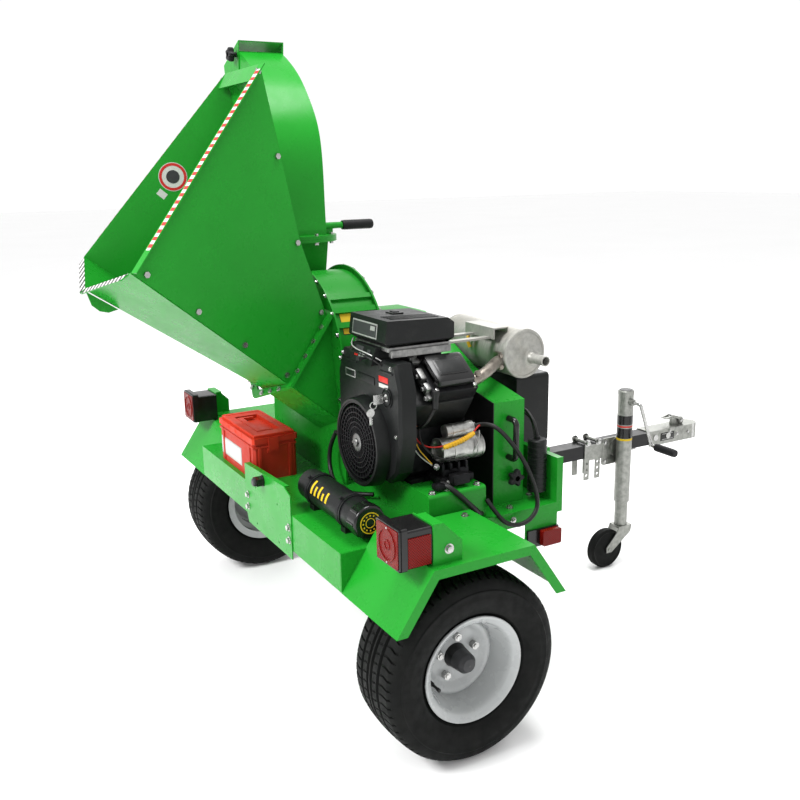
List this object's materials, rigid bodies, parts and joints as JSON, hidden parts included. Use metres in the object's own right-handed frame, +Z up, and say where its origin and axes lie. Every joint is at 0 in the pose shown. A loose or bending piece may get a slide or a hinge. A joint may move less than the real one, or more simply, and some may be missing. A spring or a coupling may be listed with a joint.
{
  "type": "wood chipper",
  "caption": "Towable wood chipper: trailer with engine, belt-driven disc rotor in a drum housing, flared feed hopper, swivelling discharge chute, ball coupler and nose jack.",
  "frame": {"origin": "centre of the footprint on the ground, at the middle of the overall length and width", "axes": "+X to the machine's right-hand wheel, +Y forward to the tow coupler, +Z up"},
  "size_m": [1.72, 2.3386, 1.948],
  "materials": {
    "green_paint": "glossy powder coat",
    "black_paint": "semi-gloss black coat",
    "white_paint": "gloss white enamel",
    "tyre_rubber": "moulded tread",
    "black_rubber": "smooth rubber",
    "black_plastic": "moulded black plastic",
    "red_lens": "transparent red lens",
    "orange_plastic": "moulded orange plastic",
    "bare_steel": "bare steel",
    "zinc_plate": "zinc plated",
    "cast_alloy": "cast alloy painted dark"
  },
  "bodies": {
    "root": {"deck_pan": "green_paint", "fender_left": "green_paint", "fender_right": "green_paint", "hopper_side_left": "green_paint", "hopper_side_right": "green_paint", "hopper_floor": "green_paint", "hopper_back": "green_paint", "throat_duct": "green_paint", "housing_plates": "green_paint", "housing_skin": "green_paint", "guard_backplate": "green_paint", "guard_cover": "green_paint", "engine_pedestal": "green_paint", "plate_bracket": "green_paint", "bearings": "green_paint", "chassis_frame": "black_paint", "axle_beam": "black_paint", "drive_belt": "black_rubber", "fuel_hose": "black_rubber", "battery_cable": "black_rubber", "blower_housing": "black_plastic", "air_cleaner_cover": "black_plastic", "fuel_tank": "black_plastic", "vapour_canister": "black_plastic", "canister_tube": "black_plastic", "lamp_housings": "black_plastic", "lamp_lenses": "red_lens", "toolbox_body": "orange_plastic", "muffler": "bare_steel", "hopper_bolts": "bare_steel", "jack_mount": "zinc_plate", "coupler_body": "zinc_plate", "engine_block": "cast_alloy"},
    "wheel_left": {"tyre_left": "tyre_rubber", "rim_left": "white_paint", "hub_left": "black_paint"},
    "wheel_right": {"tyre_right": "tyre_rubber", "rim_right": "white_paint", "hub_right": "black_paint"},
    "engine_crank": {"crankshaft": "bare_steel", "fan_screen": "black_plastic"},
    "rotor": {"rotor_shaft": "bare_steel", "rotor_disc": "bare_steel"},
    "chute_spout": {"chute": "green_paint"},
    "deflector_hood": {"deflector": "green_paint"},
    "deflector_clamp": {"deflector_knob": "black_plastic"},
    "guard_clamp": {"guard_knob": "black_plastic"},
    "key": {"ignition_key": "bare_steel"},
    "throttle": {"throttle_lever": "black_plastic"},
    "filler_cap": {"fuel_cap": "black_plastic"},
    "box_lid": {"toolbox_lid": "orange_plastic"},
    "box_handle": {"toolbox_handle": "orange_plastic"},
    "manual_cap": {"canister_cap": "black_plastic"},
    "coupler_latch": {"coupler_lever": "zinc_plate"},
    "jack_body": {"jack_outer_tube": "zinc_plate"},
    "jack_handle": {"jack_crank": "zinc_plate"},
    "jack_leg": {"jack_inner_tube": "zinc_plate"},
    "jack_caster": {"jack_yoke": "zinc_plate"},
    "jack_roller": {"jack_wheel": "black_rubber"},
    "jack_lock": {"jack_pin": "bare_steel"}
  },
  "joints": [
    {"name": "wheel_left_spin", "type": "hinge", "parent": "root", "child": "wheel_left", "pos_m": [-0.724, -0.45825, 0.26], "axis": [1, 0, 0], "continuous": true},
    {"name": "wheel_right_spin", "type": "hinge", "parent": "root", "child": "wheel_right", "pos_m": [0.724, -0.45825, 0.26], "axis": [1, 0, 0], "continuous": true},
    {"name": "rotor_spin", "type": "hinge", "parent": "root", "child": "rotor", "pos_m": [-0.195, -0.36825, 0.915], "axis": [0, 1, 0], "continuous": true},
    {"name": "crank_spin", "type": "hinge", "parent": "root", "child": "engine_crank", "pos_m": [0.3, -0.36825, 0.75], "axis": [0, 1, 0], "continuous": true},
    {"name": "chute_swivel", "type": "hinge", "parent": "root", "child": "chute_spout", "pos_m": [-0.393, -0.38325, 1.29], "axis": [0, 0, 1], "range_deg": [-105, 90]},
    {"name": "deflector_tilt", "type": "hinge", "parent": "chute_spout", "child": "deflector_hood", "pos_m": [-0.668, -0.38325, 1.868], "axis": [0, 1, 0], "range_deg": [-35, 20]},
    {"name": "deflector_knob_turn", "type": "hinge", "parent": "deflector_hood", "child": "deflector_clamp", "pos_m": [-0.655, -0.47825, 1.903], "axis": [0, 1, 0], "continuous": true},
    {"name": "guard_knob_turn", "type": "hinge", "parent": "root", "child": "guard_clamp", "pos_m": [0.505, -0.11025, 0.628], "axis": [1, 0, 0], "continuous": true},
    {"name": "key_turn", "type": "hinge", "parent": "root", "child": "key", "pos_m": [0.418, -0.49825, 0.9], "axis": [0, 1, 0], "range_deg": [0, 60]},
    {"name": "throttle_slide", "type": "slide", "parent": "root", "child": "throttle", "axis": [1, 0, 0], "range_m": [-0.02, 0.02]},
    {"name": "fuel_cap_turn", "type": "hinge", "parent": "root", "child": "filler_cap", "pos_m": [-0.15, 0.08675, 0.905], "axis": [0, 0, 1], "continuous": true},
    {"name": "toolbox_lid_hinge", "type": "hinge", "parent": "root", "child": "box_lid", "pos_m": [-0.402, -0.62025, 0.6723], "axis": [0, -1, 0], "range_deg": [0, 12]},
    {"name": "toolbox_handle_hinge", "type": "hinge", "parent": "box_lid", "child": "box_handle", "pos_m": [-0.24, -0.60425, 0.6925], "axis": [-1, 0, 0], "range_deg": [0, 90]},
    {"name": "canister_cap_turn", "type": "hinge", "parent": "root", "child": "manual_cap", "pos_m": [0.52, -0.61025, 0.604], "axis": [1, 0, 0], "continuous": true},
    {"name": "coupler_latch_hinge", "type": "hinge", "parent": "root", "child": "coupler_latch", "pos_m": [0, 1.08675, 0.508], "axis": [-1, 0, 0], "range_deg": [0, 70]},
    {"name": "jack_swivel", "type": "hinge", "parent": "root", "child": "jack_body", "pos_m": [0.04, 0.72875, 0.465], "axis": [1, 0, 0], "range_deg": [-90, 0]},
    {"name": "jack_crank_turn", "type": "hinge", "parent": "jack_body", "child": "jack_handle", "pos_m": [0.13, 0.72875, 0.652], "axis": [1, 0, 0], "range_deg": [-9000, 5100]},
    {"name": "jack_leg_slide", "type": "slide", "parent": "jack_body", "child": "jack_leg", "axis": [0, 0, 1], "range_m": [-0.15, 0.085]},
    {"name": "caster_swivel", "type": "hinge", "parent": "jack_leg", "child": "jack_caster", "pos_m": [0.07, 0.72875, 0.156], "axis": [0, 0, 1], "continuous": true},
    {"name": "jack_wheel_spin", "type": "hinge", "parent": "jack_caster", "child": "jack_roller", "pos_m": [0.07, 0.65275, 0.076], "axis": [1, 0, 0], "continuous": true},
    {"name": "jack_pin_pull", "type": "slide", "parent": "jack_body", "child": "jack_lock", "axis": [1, 0, 0], "range_m": [0, 0.012], "stiffness_N_per_m": 300, "springref_m": -0.005}
  ],
  "couplings": [
    {"joint": "crank_spin", "follows": "rotor_spin", "ratio": 1.7742},
    {"joint": "jack_leg_slide", "follows": "jack_crank_turn", "m_per_rad": 0.00095493}
  ]
}
